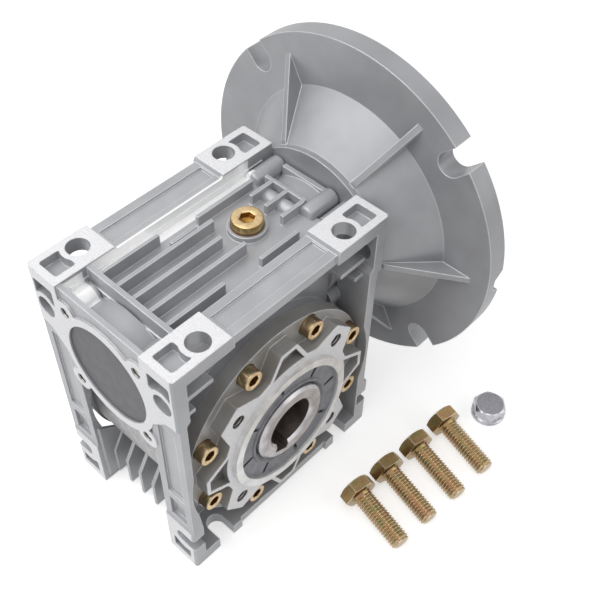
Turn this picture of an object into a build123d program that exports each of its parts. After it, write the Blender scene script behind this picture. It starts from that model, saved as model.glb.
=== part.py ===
from build123d import *
from math import cos, pi, radians, sin, sqrt, tan
import os

os.makedirs("parts", exist_ok=True)

# Casting. The origin is on the output bore axis at mid width, Z is up and X runs along the worm.
half_length = 60.0
half_width = 42.5
feet_depth = 60.0
top_rise = 84.0
centre_distance = 50.0

# Fixing holes of the casting
fixing_x = 40.2
fixing_y = 35.0
fixing_radius = 5.1
foot_slot_radius = 4.6
hole_wall = 2.4
side_hole_z = 64.0
side_slot_z = -40.2
side_slot_radius = 4.1

# Corner pads, rails, blocks and posts
pad_inner_x = 30.0
pad_inner_y = 24.5
plate_thickness = 7.0
rail_drop = 1.8
rail_thickness = 4.8
rail_inset = 1.2
rail_recess = 1.2
recess_near = 28.5
recess_far = 36.9
strip_rise = 1.5
block_thickness = 6.5
left_block_bottom = 52.5
right_block_bottom = 54.5
lower_block_top = -29.5
left_post_inset = 0.7
left_post_thickness = 3.8
right_post_inset = 3.5
right_post_thickness = 5.0
cover_relief = 55.0
left_post_relief = 57.2
panel_depth = 1.2
panel_low = -6.0
panel_high = 46.0
panel_near = 28.5
panel_far = 38.5
post_pocket_depth = 2.2
post_pocket_low = -26.0
post_pocket_high = -11.0
pocket_depth = 4.6
pocket_margin = 3.5
pocket_corner = 1.2
frame_corner = 1.6

# Gear chamber, worm tunnel and barrels
chamber_radius = 44.4
chamber_outer = 53.0
seat_half_width = 30.0
chamber_end = 26.0
tunnel_radius = 17.5
deck_half_width = 24.5
deck_height = 75.5
deck_low = 10.0
barrel_radius = 27.5
barrel_start = 45.0

# Walls and fins of the deck
wall_thickness = 2.4
wall_top = 83.0
end_wall_inset = 1.0
right_wall_top = 78.5
right_wall_half = 15.0
cross_wall_x = -42.0
fin_thickness = 1.8
fin_top = 81.8
low_fin_top = 80.6
fin_root = 73.5
right_rib_x = 44.5
rail_web = 2.5

# Walls, fins and shelves beside and under the chamber
bottom_fin_spacing = 9.4
bottom_fin_reach = 52.0
bottom_fin_low = -57.5
bottom_fin_corner = -39.5
bottom_fin_top = -28.0
gusset_y = 24.4
gusset_thickness = 2.0
gusset_high = -16.0
gusset_low = -26.0
shelf_thickness = 2.0
shelf_near = 20.0
shelf_far = 38.0
high_shelf = (59.5, 37.0)
low_shelf = (50.2, 47.0)

# Bolt circle of both worm ends
end_pcd = 60.0
end_boss_radius = 5.7
end_boss_length = 14.5
end_thread_radius = 2.5
end_thread_depth = 12.5

# Output ends
cover_radius = 54.2
cover_flange = 6.5
star_face = 43.5
pilot_radius = 35.0
pilot_face = 46.0
face_pcd = 85.0
face_thread_radius = 3.4
face_thread_depth = 11.0
star_root = 39.4
star_tip = 49.8
star_corner = 1.0
star_fillet = 3.6
lobe_tip_half = 6.6
lobe_root_half = 11.8
tooth_tip_half = 4.9
tooth_root_half = 10.4
star_wall = 1.9
star_pocket_depth = 5.0
hub_wall = 4.5
cover_screw_pcd = 97.0
cover_screw_count = 8
cover_screw_start = 22.5
cover_screw_length = 16.0
cover_thread_depth = 13.0
screw_radius = 3.0
screw_clearance = 0.3
spot_face_depth = 1.0
spot_face_radius = 5.4
spigot_length = 4.5
spigot_wall = 5.0
spigot_fit = 0.05
ring_side = 2.0
ring_groove = 2.4
ring_gap = 0.1

# Output shaft with bearings 40 x 68 x 15 and seals 40 x 62 x 8
shaft_radius = 20.0
bore_radius = 12.5
keyway_width = 8.0
keyway_height = 28.3
keyway_angle = 243.0
bore_chamfer = 1.3
output_bearing_radius = 34.0
output_bearing_width = 15.0
output_bearing_face = 36.0
output_seal_radius = 31.0
output_seal_width = 8.0
output_seal_face = 45.0
seal_shoulder = 1.5

# Worm bearings 20 x 47 x 14 and 25 x 47 x 12 with their closures
worm_seat_radius = 23.5
rear_journal = 10.0
rear_bearing_width = 14.0
rear_bearing_face = 51.0
quill_radius = 12.5
input_bearing_width = 12.0
input_bearing_face = 49.0
ring_share = 0.24
press_fit = 0.02
shield_gap = 0.3
shield_thickness = 0.8
shield_inset = 0.5
circlip_thickness = 1.5
circlip_width = 3.6
circlip_groove = 1.2
circlip_fit = 0.1
circlip_gap_angle = 34.0
circlip_lug_radius = 2.3
circlip_hole_radius = 1.0
input_seal_width = 7.0
input_seal_face = 58.7
lip_gap = 0.06
seal_wall = 1.8
cap_face = 59.0
cap_thickness = 6.0
cap_wall = 1.6

# Hollow worm end, 5/8 inch bore with a 3/16 inch key
input_bore = 7.9375
input_keyway_width = 4.76
input_keyway_height = 18.0
input_bore_depth = 38.0
quill_end = 64.0
end_chamfer = 0.8

# Worm gearing, axial module 2.5, one start and thirty teeth
axial_module = 2.5
wheel_teeth = 30
worm_pitch_radius = 12.5
flank_angle = 20.0
tooth_height = 2.5
root_depth = 3.1
tip_gap = 0.6
thread_relief = 0.12
gap_relief = 0.26
rolling_share = 0.055
worm_turns = 5
worm_core_half = 24.0
core_runout = 4.0
wheel_half_width = 11.0
wheel_rise = 1.2
rim_inner = 31.0
rim_bevel = 2.4
hub_shoulder = 25.5
hub_web_half = 15.0

# Motor flange, 165 mm across with a 114.3 mm pilot and a 149.2 mm bolt circle
flange_radius = 82.55
motor_face = 92.4
flange_rim_width = 10.0
motor_pilot_radius = 57.15
motor_pilot_depth = 5.0
motor_pcd = 149.2
motor_slot_radius = 5.7
cone_radius = 58.5
cavity_mouth = 53.0
cavity_floor = 36.5
neck_radius = 39.5
neck_width = 3.0
flange_floor = 6.0
flange_spigot = 1.0
flange_bore_gap = 1.5
rib_count = 6
rib_low = 41.0
rib_high = 74.0
rib_thickness = 3.0
rib_sink = 1.5
notch_depth = 5.0
notch_half = 6.2
notch_floor_half = 3.0
notch_reach = 9.0
flange_screw_length = 16.0

# Socket head screws M6
socket_head_radius = 5.0
socket_head_height = 6.0
socket_across = 5.0
socket_depth = 3.2
socket_chamfer = 0.5

# Filler plug on the deck
filler_x = 19.8
filler_boss_radius = 8.6
filler_boss_top = 78.2
filler_head_radius = 7.0
filler_head_height = 3.4
filler_thread_radius = 5.0
filler_thread_fit = 0.05
filler_thread_length = 8.0
filler_hole_depth = 25.0
filler_socket = 6.0
washer_thickness = 0.8
washer_radius = 7.3

# Loose motor bolts M10: place of each head on the ground and its turn
bolt_radius = 4.95
bolt_shank = 30.0
bolt_head_height = 6.4
bolt_head_across = 16.0
bolt_places = ((20.0, -69.4, 9.5), (39.8, -71.2, 9.8), (60.5, -73.2, 10.5), (82.0, -74.3, 11.2))

# Vent plug standing beside the bolts
vent_x = 107.0
vent_y = -89.0
vent_across = 14.2
vent_hex_height = 4.6
vent_collar_radius = 8.8
vent_collar_height = 3.0

block_inner = half_length - block_thickness
rail_top = top_rise - rail_drop
rail_bottom = rail_top - rail_thickness
pad_bottom = top_rise - plate_thickness
foot_top = -feet_depth + plate_thickness
strip_low = -feet_depth + strip_rise
strip_high = strip_low + rail_thickness
left_post = -half_length + left_post_inset
left_post_inner = left_post + left_post_thickness
right_post = half_length - right_post_inset
right_post_inner = right_post - right_post_thickness
flange_front = seat_half_width + cover_flange
screw_seat = flange_front - spot_face_depth
output_bearing_back = output_bearing_face - output_bearing_width
rear_bearing_back = rear_bearing_face - rear_bearing_width
input_bearing_back = input_bearing_face - input_bearing_width
wheel_pitch_radius = centre_distance - worm_pitch_radius
wheel_outer = wheel_pitch_radius + tooth_height + wheel_rise
worm_tip = worm_pitch_radius + tooth_height
worm_root = worm_pitch_radius - root_depth
axial_pitch = pi * axial_module
rim_back = motor_face - flange_rim_width
flange_seat = half_length + flange_floor
washer_top = filler_boss_top + washer_thickness
beyond = 2 * half_length


def corner_box(x0, x1, y0, y1, mode=Mode.ADD):
    """Draw a rectangle between two corners."""
    with Locations(((x0 + x1) / 2, (y0 + y1) / 2)):
        Rectangle(abs(x1 - x0), abs(y1 - y0), mode=mode)


def across(y):
    """The plane at one Y, with X to the right and Z up, facing -Y."""
    return Plane.XZ.offset(-y)


def along(x):
    """The plane at one X, with Y to the right and Z up, facing +X."""
    return Plane.YZ.offset(x)


def on_worm(x):
    """The plane at one X with its origin on the worm axis, facing +X."""
    return Plane(origin=(x, 0, centre_distance), x_dir=(0, 1, 0), z_dir=(1, 0, 0))


def through_worm(angle):
    """The plane through the worm axis at one angle from +Y, with X along and Y outwards."""
    turn = radians(angle)
    return Plane(origin=(0, 0, centre_distance), x_dir=(1, 0, 0), z_dir=(0, -sin(turn), cos(turn)))


def star_arm(tip_half, root_half):
    """One arm of the machined output face, tapering outwards along X."""
    with BuildSketch() as arm:
        with BuildLine():
            Polyline(
                (star_root / 2, -root_half),
                (star_root, -root_half),
                (star_tip, -tip_half),
                (star_tip, tip_half),
                (star_root, root_half),
                (star_root / 2, root_half),
                close=True,
            )
        make_face()
        fillet(arm.vertices().group_by(Axis.X)[-1], star_corner)
    return arm.sketch


def output_end(side):
    """Flange, star, pilot ring and bearing tube of one output end."""
    with BuildPart() as solid:
        with BuildSketch(across(side * seat_half_width)):
            Circle(cover_radius)
        extrude(amount=-side * cover_flange)
        with BuildSketch(across(side * flange_front)):
            add(star_outline)
        extrude(amount=-side * (star_face - flange_front))
        with BuildSketch(across(side * flange_front)):
            Circle(pilot_radius)
        extrude(amount=-side * (pilot_face - flange_front))
        with BuildSketch(across(side * output_bearing_back)):
            Circle(output_bearing_radius + hub_wall)
        extrude(amount=-side * (flange_front - output_bearing_back))
    return solid.part


def output_bores(side):
    """What is cut from one output end: pockets, threads, bearing seat and seal seat."""
    with BuildPart() as cut:
        with BuildSketch(across(side * (star_face - star_pocket_depth))):
            add(star_pockets.sketch)
        extrude(amount=-side * 2 * star_pocket_depth)
        with BuildSketch(across(side * (star_face - face_thread_depth))):
            with PolarLocations(face_pcd / 2, 4, start_angle=45):
                Circle(face_thread_radius)
        extrude(amount=-side * 2 * face_thread_depth)
        with BuildSketch(across(side * (output_bearing_back - 1))):
            Circle(output_bearing_radius)
        extrude(amount=-side * (output_bearing_width + 1))
        with BuildSketch(across(side * output_bearing_face)):
            Circle(output_seal_radius - seal_shoulder)
        extrude(amount=-side * output_bearing_width)
        with BuildSketch(across(side * (output_seal_face - output_seal_width))):
            Circle(output_seal_radius)
        extrude(amount=-side * output_bearing_width)
    return cut.part


def turned(profile, plane):
    """Revolve a profile, drawn with its radius along X, about the Y direction of a plane."""
    with BuildPart() as piece:
        with BuildSketch(plane):
            add(profile)
        revolve(axis=Axis(plane.origin, plane.y_dir))
    return piece.part


def outer_ring(bore, outer, width):
    """Profile of a bearing's outer ring with its two shields."""
    wall = (outer - bore) * ring_share
    with BuildSketch() as profile:
        corner_box(outer - wall, outer - press_fit, 0, width)
        corner_box(bore + wall + shield_gap, outer - wall, shield_inset, shield_inset + shield_thickness)
        corner_box(bore + wall + shield_gap, outer - wall, width - shield_inset - shield_thickness,
                   width - shield_inset)
    return profile.sketch


def inner_ring(bore, outer, width):
    """Profile of a bearing's inner ring."""
    with BuildSketch() as profile:
        corner_box(bore + press_fit, bore + (outer - bore) * ring_share, 0, width)
    return profile.sketch


def lip_seal(bore, outer, width):
    """Profile of a shaft seal, hollow towards its face at the full width."""
    lip = bore + lip_gap
    with BuildSketch() as profile:
        with BuildLine():
            Polyline(
                (outer - press_fit, 0),
                (outer - press_fit, width),
                (outer - seal_wall, width),
                (outer - seal_wall - 0.5, width - seal_wall),
                (bore + 2 * seal_wall, width - seal_wall),
                (bore + seal_wall, width - 0.4),
                (lip, width - seal_wall),
                (lip + 1, width - 2 * seal_wall),
                (lip + 1, 1.3 * seal_wall),
                (lip, 0.7 * seal_wall),
                (lip + 1, 0),
                close=True,
            )
        make_face()
    return profile.sketch


def socket_screw(length):
    """A socket head screw along Z with its seat at zero and the head above."""
    with BuildPart() as screw:
        with BuildSketch(Plane.XY.offset(-length)):
            Circle(screw_radius)
        extrude(amount=length)
        with BuildSketch():
            Circle(socket_head_radius)
        extrude(amount=socket_head_height)
        chamfer(screw.edges().group_by(Axis.Z)[-1], socket_chamfer)
        with BuildSketch(Plane.XY.offset(socket_head_height - socket_depth)):
            RegularPolygon(socket_across / 2, 6, major_radius=False)
        extrude(amount=socket_depth, mode=Mode.SUBTRACT)
    return screw.part


def circlip(plane):
    """An internal circlip on a plane, with its two lugs below and the gap between them."""
    outer = worm_seat_radius + circlip_groove - circlip_fit
    gap_half = radians(circlip_gap_angle / 2)
    lug_line = outer - circlip_groove - circlip_lug_radius
    with BuildPart() as clip:
        with BuildSketch(plane):
            Circle(outer)
            Circle(outer - circlip_width, mode=Mode.SUBTRACT)
            with BuildLine():
                Polyline((0, 0), (-beyond * sin(gap_half), -beyond * cos(gap_half)),
                         (beyond * sin(gap_half), -beyond * cos(gap_half)), close=True)
            make_face(mode=Mode.SUBTRACT)
            for side in (-1, 1):
                with PolarLocations(lug_line, 1, start_angle=270 + side * (circlip_gap_angle / 2 + 5)):
                    Circle(circlip_lug_radius)
                    Circle(circlip_hole_radius, mode=Mode.SUBTRACT)
        extrude(amount=circlip_thickness)
    return clip.part


def thread_half(radius):
    """Half thickness of the rack at one radius from the worm axis."""
    return axial_pitch / 4 + (worm_pitch_radius - radius) * tan(radians(flank_angle))


def gap_half(wheel_radius, y):
    """Half width of a tooth gap at one wheel radius and one place across the face."""
    worm_radius = sqrt(y * y + (centre_distance - wheel_radius) ** 2)
    rolling = rolling_share * (wheel_radius - wheel_pitch_radius) ** 2
    return thread_half(worm_radius) + rolling + gap_relief


def gap_section(y):
    """Section of one tooth gap in a plane across the wheel, leaned by the lead."""
    low = centre_distance - sqrt((worm_tip + tip_gap) ** 2 - y * y)
    high = wheel_outer + 2 * wheel_rise
    middle = (low + high) / 2
    lean = y * axial_pitch / (2 * pi * worm_pitch_radius)
    with BuildSketch(across(y)) as section:
        with BuildLine():
            Line((lean - gap_half(low, y), low), (lean + gap_half(low, y), low))
            ThreePointArc((lean + gap_half(low, y), low), (lean + gap_half(middle, y), middle),
                          (lean + gap_half(high, y), high))
            Line((lean + gap_half(high, y), high), (lean - gap_half(high, y), high))
            ThreePointArc((lean - gap_half(high, y), high), (lean - gap_half(middle, y), middle),
                          (lean - gap_half(low, y), low))
        make_face()
    return section.sketch


solid_arm = star_arm(lobe_tip_half, lobe_root_half)
hollow_arm = star_arm(tooth_tip_half, tooth_root_half)

with BuildSketch() as star_arms:
    Circle(star_root)
    with PolarLocations(0, 4, start_angle=45):
        add(solid_arm)
    with PolarLocations(0, 4):
        add(hollow_arm)

# Scallops round the cover screws, made by growing the arms and shrinking them again
star_outline = offset(offset(star_arms.sketch, amount=star_fillet), amount=-star_fillet)

# Pockets of the hollow arms, inside one wall's width of the outline
star_inside = offset(star_outline, amount=-star_wall)
with BuildSketch() as star_pockets:
    with PolarLocations(star_tip, 4):
        Rectangle(2 * star_tip, 2 * tooth_root_half)
    Circle(star_root - star_wall + star_corner / 2, mode=Mode.SUBTRACT)
    add(star_inside, mode=Mode.INTERSECT)

# Relief of the left posts round the cover
with BuildSketch() as left_relief:
    Circle(left_post_relief)
    corner_box(-half_length, -block_inner, -half_length, half_length, mode=Mode.INTERSECT)

# Side frame seen along Y: feet, posts, corner blocks, rail and pads round one opening
with BuildSketch() as side_frame:
    with BuildLine():
        Polyline(
            (-half_length, -feet_depth),
            (-pad_inner_x, -feet_depth),
            (-pad_inner_x, strip_low),
            (pad_inner_x, strip_low),
            (pad_inner_x, -feet_depth),
            (half_length, -feet_depth),
            (half_length, lower_block_top),
            (right_post, lower_block_top + 2),
            (right_post, right_block_bottom - 2),
            (half_length, right_block_bottom),
            (half_length, top_rise),
            (pad_inner_x, top_rise),
            (pad_inner_x - 1, rail_top),
            (-pad_inner_x + 1, rail_top),
            (-pad_inner_x, top_rise),
            (-half_length, top_rise),
            (-half_length, left_block_bottom),
            (left_post, left_block_bottom - 1),
            (left_post, lower_block_top + 1),
            (-half_length, lower_block_top),
            close=True,
        )
    make_face()
    with BuildLine():
        Polyline(
            (-block_inner, pad_bottom),
            (-pad_inner_x - 4, pad_bottom),
            (-pad_inner_x + 2, rail_bottom),
            (pad_inner_x - 2, rail_bottom),
            (pad_inner_x + 4, pad_bottom),
            (block_inner, pad_bottom),
            (block_inner, right_block_bottom + 2),
            (right_post_inner, right_block_bottom),
            (right_post_inner, foot_top),
            (pad_inner_x + 4, foot_top),
            (pad_inner_x - 2, strip_high),
            (-pad_inner_x + 2, strip_high),
            (-pad_inner_x - 4, foot_top),
            (-block_inner, foot_top),
            (-block_inner, lower_block_top),
            (left_post_inner, post_pocket_high),
            (left_post_inner, left_block_bottom),
            (-block_inner, left_block_bottom + 2),
            close=True,
        )
    make_face(mode=Mode.SUBTRACT)
    Circle(cover_relief, mode=Mode.SUBTRACT)
    add(left_relief.sketch, mode=Mode.SUBTRACT)

# Cast pockets of one corner, drawn for +X and +Y
with BuildSketch() as pad_pocket:
    corner_box(fixing_x + fixing_radius + 1.3, half_length - pocket_margin,
               pad_inner_y + pocket_margin, half_width - pocket_margin)
    fillet(pad_pocket.vertices(), pocket_corner)
    with Locations((fixing_x, fixing_y)):
        Circle(fixing_radius + hole_wall, mode=Mode.SUBTRACT)

with BuildSketch() as end_pocket:
    corner_box(pad_inner_y + pocket_margin, half_width - hole_wall,
               side_hole_z + fixing_radius, pad_bottom + 1)
    fillet(end_pocket.vertices(), pocket_corner)
    with Locations((fixing_y, side_hole_z)):
        Circle(fixing_radius + hole_wall, mode=Mode.SUBTRACT)

with BuildSketch() as foot_pocket:
    corner_box(pad_inner_y + pocket_margin, half_width - pocket_margin,
               foot_top - hole_wall, side_slot_z - side_slot_radius - hole_wall)
    fillet(foot_pocket.vertices(), pocket_corner)
    with Locations((fixing_y, side_slot_z)):
        Circle(side_slot_radius + 2 * pocket_corner + hole_wall, mode=Mode.SUBTRACT)

# Web that joins an upper corner block to its worm barrel, drawn for the +Y side
with BuildSketch() as corner_web:
    with BuildLine():
        Polyline(
            (deck_low, centre_distance + 20),
            (pad_inner_y + 1, pad_bottom),
            (half_width, pad_bottom),
            (half_width, left_block_bottom + 4),
            (half_width - 4, left_block_bottom),
            (fixing_y, left_block_bottom - 1),
            (barrel_radius - 2, centre_distance - 8),
            (deck_low, centre_distance - 8),
            close=True,
        )
    make_face()

with BuildSketch() as bottom_fin:
    with BuildLine():
        Polyline(
            (-bottom_fin_reach, bottom_fin_low),
            (bottom_fin_reach, bottom_fin_low),
            (bottom_fin_reach, bottom_fin_corner),
            (bottom_fin_reach - 6.6, bottom_fin_top),
            (-bottom_fin_reach + 6.6, bottom_fin_top),
            (-bottom_fin_reach, bottom_fin_corner),
            close=True,
        )
    make_face()

with BuildSketch() as gusset:
    with BuildLine():
        Polyline(
            (left_post + 2, foot_top - 3),
            (right_post - 2, foot_top - 3),
            (right_post - 2, gusset_high),
            (barrel_start, gusset_low),
            (-barrel_start, gusset_low),
            (left_post + 2, gusset_high),
            close=True,
        )
    make_face()

back_end = output_end(1)
back_bores = output_bores(1)
front_end = output_end(-1)
front_bores = output_bores(-1)

with BuildPart() as housing:
    # Gear chamber across and the box over it that carries the worm
    with BuildSketch(across(seat_half_width)):
        Circle(chamber_outer)
    extrude(amount=2 * seat_half_width)
    with BuildSketch(along(-barrel_start)):
        corner_box(-deck_half_width, deck_half_width, deck_low, deck_height)
    extrude(amount=2 * barrel_start)
    # Barrels of the worm bearings with their screw bosses, corner webs and end walls
    for end in (-1, 1):
        with BuildSketch(on_worm(end * half_length)):
            Circle(barrel_radius)
        extrude(amount=-end * (half_length - barrel_start))
        with BuildSketch(on_worm(end * half_length)):
            with PolarLocations(end_pcd / 2, 4, start_angle=45):
                Circle(end_boss_radius)
        extrude(amount=-end * end_boss_length)
        with BuildSketch(along(end * half_length)):
            add(corner_web.sketch)
            mirror(about=Plane.YZ)
        extrude(amount=-end * block_thickness)
    for end, half, top in ((-1, pad_inner_y, wall_top), (1, right_wall_half, right_wall_top)):
        with BuildSketch(along(end * (half_length - end_wall_inset))):
            corner_box(-half, half, centre_distance, top)
        extrude(amount=-end * wall_thickness)
    with BuildSketch(along(cross_wall_x)):
        corner_box(-pad_inner_y, pad_inner_y, centre_distance, wall_top)
    extrude(amount=-wall_thickness)
    with BuildSketch(along(right_rib_x)):
        corner_box(-9, 14, centre_distance, low_fin_top)
    extrude(amount=fin_thickness)
    # Side frames, the webs that join them to the box, and the shelves beside the barrels
    for side in (-1, 1):
        with BuildSketch(across(side * pad_inner_y)):
            add(side_frame.sketch)
        extrude(amount=-side * (half_width - pad_inner_y))
        with BuildSketch(across(side * (pad_inner_y - 0.5))):
            corner_box(-block_inner, block_inner, deck_height - 8, rail_bottom + 1)
        extrude(amount=-side * rail_web)
        with BuildSketch(across(side * (gusset_y - gusset_thickness / 2))):
            add(gusset.sketch)
        extrude(amount=-side * gusset_thickness)
        for shelf_z, shelf_end in (high_shelf, low_shelf):
            with BuildSketch(Plane.XY.offset(shelf_z)):
                corner_box(left_post + 1, -shelf_end, side * shelf_near, side * shelf_far)
                corner_box(right_post - 1, shelf_end, side * shelf_near, side * shelf_far)
            extrude(amount=shelf_thickness)
    # Fins under the chamber
    for step in (-2.5, -1.5, -0.5, 0.5, 1.5, 2.5):
        with BuildSketch(across(step * bottom_fin_spacing + fin_thickness / 2)):
            add(bottom_fin.sketch)
        extrude(amount=fin_thickness)
    # Fins on the deck, as place across, start, end and top of each
    for fin_y, fin_start, fin_end, top in (
        (19.3, cross_wall_x, -12, fin_top),
        (9.5, cross_wall_x, 9.2, fin_top),
        (0, cross_wall_x, 4.9, fin_top),
        (-9.5, cross_wall_x, 9.3, fin_top),
        (-19.3, cross_wall_x, -12, fin_top),
        (16.5, 7.7, 39, low_fin_top),
        (-19.3, 9, 30, low_fin_top),
        (12.7, -10, 2.5, low_fin_top),
        (9.7, 32.5, right_rib_x, low_fin_top),
        (0.8, 32.5, right_rib_x, low_fin_top),
        (-8.5, 32.5, right_rib_x, low_fin_top),
    ):
        with BuildSketch(across(fin_y + fin_thickness / 2)):
            corner_box(fin_start - 1, fin_end, fin_root, top)
        extrude(amount=fin_thickness)
    # Filler boss
    with BuildSketch(Plane.XY.offset(fin_root)):
        with Locations((filler_x, 0)):
            Circle(filler_boss_radius)
    extrude(amount=filler_boss_top - fin_root)
    # Chamber bore and worm tunnel
    with BuildSketch(across(chamber_end)):
        Circle(chamber_radius)
    extrude(amount=beyond, mode=Mode.SUBTRACT)
    with BuildSketch(on_worm(-barrel_start)):
        Circle(tunnel_radius)
    extrude(amount=2 * barrel_start, mode=Mode.SUBTRACT)
    # Integral output end on the far side
    add(back_end)
    add(back_bores, mode=Mode.SUBTRACT)
    # Bearing seats, circlip grooves and threads of the worm ends
    for end, seat_back, groove_x, hole_radius in (
        (-1, rear_bearing_back, -rear_bearing_face - circlip_thickness, end_thread_radius),
        (1, input_bearing_back, input_bearing_face, screw_radius),
    ):
        with BuildSketch(on_worm(end * seat_back)):
            Circle(worm_seat_radius)
        extrude(amount=end * half_length, mode=Mode.SUBTRACT)
        with BuildSketch(on_worm(groove_x)):
            Circle(worm_seat_radius + circlip_groove)
        extrude(amount=circlip_thickness, mode=Mode.SUBTRACT)
        with BuildSketch(on_worm(end * half_length)):
            with PolarLocations(end_pcd / 2, 4, start_angle=45):
                Circle(hole_radius)
        extrude(amount=-end * end_thread_depth, mode=Mode.SUBTRACT)
    # Threads for the cover screws and the filler plug
    with BuildSketch(across(-seat_half_width)):
        with PolarLocations(cover_screw_pcd / 2, cover_screw_count, start_angle=cover_screw_start):
            Circle(screw_radius)
    extrude(amount=-cover_thread_depth, mode=Mode.SUBTRACT)
    with BuildSketch(Plane.XY.offset(filler_boss_top)):
        with Locations((filler_x, 0)):
            Circle(filler_thread_radius)
    extrude(amount=-filler_hole_depth, mode=Mode.SUBTRACT)
    # Rails and strips set back from the pads, and the shallow recess of each rail
    for side in (-1, 1):
        with BuildSketch(Plane.XY.offset(rail_bottom - 2)):
            corner_box(-pad_inner_x + 1, pad_inner_x - 1, side * (half_width - rail_inset), side * half_length)
        extrude(amount=beyond, mode=Mode.SUBTRACT)
        with BuildSketch(Plane.XY.offset(strip_high + 2)):
            corner_box(-pad_inner_x, pad_inner_x, side * (half_width - rail_inset), side * half_length)
        extrude(amount=-beyond, mode=Mode.SUBTRACT)
        with BuildSketch(Plane.XY.offset(rail_top - rail_recess)):
            corner_box(-pad_inner_x + 2, pad_inner_x - 2, side * recess_near, side * recess_far)
        extrude(amount=beyond, mode=Mode.SUBTRACT)
    # Top holes and foot slots
    with BuildSketch(Plane.XY.offset(pad_bottom - 1)):
        with GridLocations(2 * fixing_x, 2 * fixing_y, 2, 2):
            Circle(fixing_radius)
    extrude(amount=beyond, mode=Mode.SUBTRACT)
    with BuildSketch(Plane.XY.offset(foot_top + 1)):
        for end in (-1, 1):
            for side in (-1, 1):
                with Locations((end * fixing_x, side * fixing_y)):
                    Circle(foot_slot_radius)
                corner_box(end * fixing_x - foot_slot_radius, end * fixing_x + foot_slot_radius,
                           side * fixing_y, side * half_length)
    extrude(amount=-beyond, mode=Mode.SUBTRACT)
    # Rounded corners of pads, blocks and feet
    with BuildSketch(Plane.XY.offset(-feet_depth)):
        Rectangle(2 * half_length + 2, 2 * half_width + 2)
        RectangleRounded(2 * half_length, 2 * half_width, frame_corner, mode=Mode.SUBTRACT)
        Rectangle(beyond, 2 * (half_width - frame_corner), mode=Mode.SUBTRACT)
        Rectangle(2 * (half_length - frame_corner), beyond, mode=Mode.SUBTRACT)
    extrude(amount=feet_depth + top_rise, mode=Mode.SUBTRACT)
    # Holes, slots and cast pockets of the end faces
    for end in (-1, 1):
        with BuildSketch(along(end * (block_inner - 1))):
            for side in (-1, 1):
                with Locations((side * fixing_y, side_hole_z), (side * fixing_y, side_slot_z)):
                    Circle(side_slot_radius)
                with Locations((side * fixing_y, side_hole_z)):
                    Circle(fixing_radius)
                corner_box(side * fixing_y, side * half_length, side_slot_z - side_slot_radius,
                           side_slot_z + side_slot_radius)
        extrude(amount=end * beyond, mode=Mode.SUBTRACT)
        with BuildSketch(along(end * half_length)):
            add(end_pocket.sketch)
            add(foot_pocket.sketch)
            mirror(about=Plane.YZ)
        extrude(amount=-end * pocket_depth, mode=Mode.SUBTRACT)
    with BuildSketch(Plane.XY.offset(top_rise)):
        add(pad_pocket.sketch)
        mirror(about=Plane.YZ)
        mirror(about=Plane.XZ)
    extrude(amount=-pocket_depth, mode=Mode.SUBTRACT)
    # Shallow panel and lower pocket of the posts
    for post, inwards in ((left_post, 1), (right_post, -1)):
        for side in (-1, 1):
            with BuildSketch(along(post)):
                corner_box(side * panel_near, side * panel_far, panel_low, panel_high)
            extrude(amount=inwards * panel_depth, mode=Mode.SUBTRACT)
            with BuildSketch(along(post)):
                corner_box(side * panel_near, side * panel_far, post_pocket_low, post_pocket_high)
            extrude(amount=inwards * post_pocket_depth, mode=Mode.SUBTRACT)

groove_middle = seat_half_width - spigot_length / 2
with BuildPart() as output_cover:
    add(front_end)
    with BuildSketch(across(-seat_half_width)):
        Circle(chamber_radius - spigot_fit)
        Circle(chamber_radius - spigot_wall, mode=Mode.SUBTRACT)
    extrude(amount=-spigot_length)
    with BuildSketch(across(-groove_middle + ring_groove / 2)):
        Circle(chamber_radius + 1)
        Circle(chamber_radius - ring_side - ring_gap, mode=Mode.SUBTRACT)
    extrude(amount=ring_groove, mode=Mode.SUBTRACT)
    add(front_bores, mode=Mode.SUBTRACT)
    with BuildSketch(across(-screw_seat)):
        with PolarLocations(cover_screw_pcd / 2, cover_screw_count, start_angle=cover_screw_start):
            Circle(spot_face_radius)
    extrude(amount=spot_face_depth + 1, mode=Mode.SUBTRACT)
    with BuildSketch(across(-flange_front)):
        with PolarLocations(cover_screw_pcd / 2, cover_screw_count, start_angle=cover_screw_start):
            Circle(screw_radius + screw_clearance)
    extrude(amount=-2 * cover_flange, mode=Mode.SUBTRACT)

with BuildPart() as cover_o_ring:
    with BuildSketch(Plane.XY):
        with Locations((chamber_radius - ring_side / 2 - ring_gap / 2, -groove_middle)):
            Rectangle(ring_side - ring_gap / 2, ring_side - ring_gap / 2)
    revolve(axis=Axis.Y)

cover_screw = socket_screw(cover_screw_length)
with BuildPart(across(-screw_seat)) as cover_screws:
    with PolarLocations(cover_screw_pcd / 2, cover_screw_count, start_angle=cover_screw_start):
        add(cover_screw)

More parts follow.
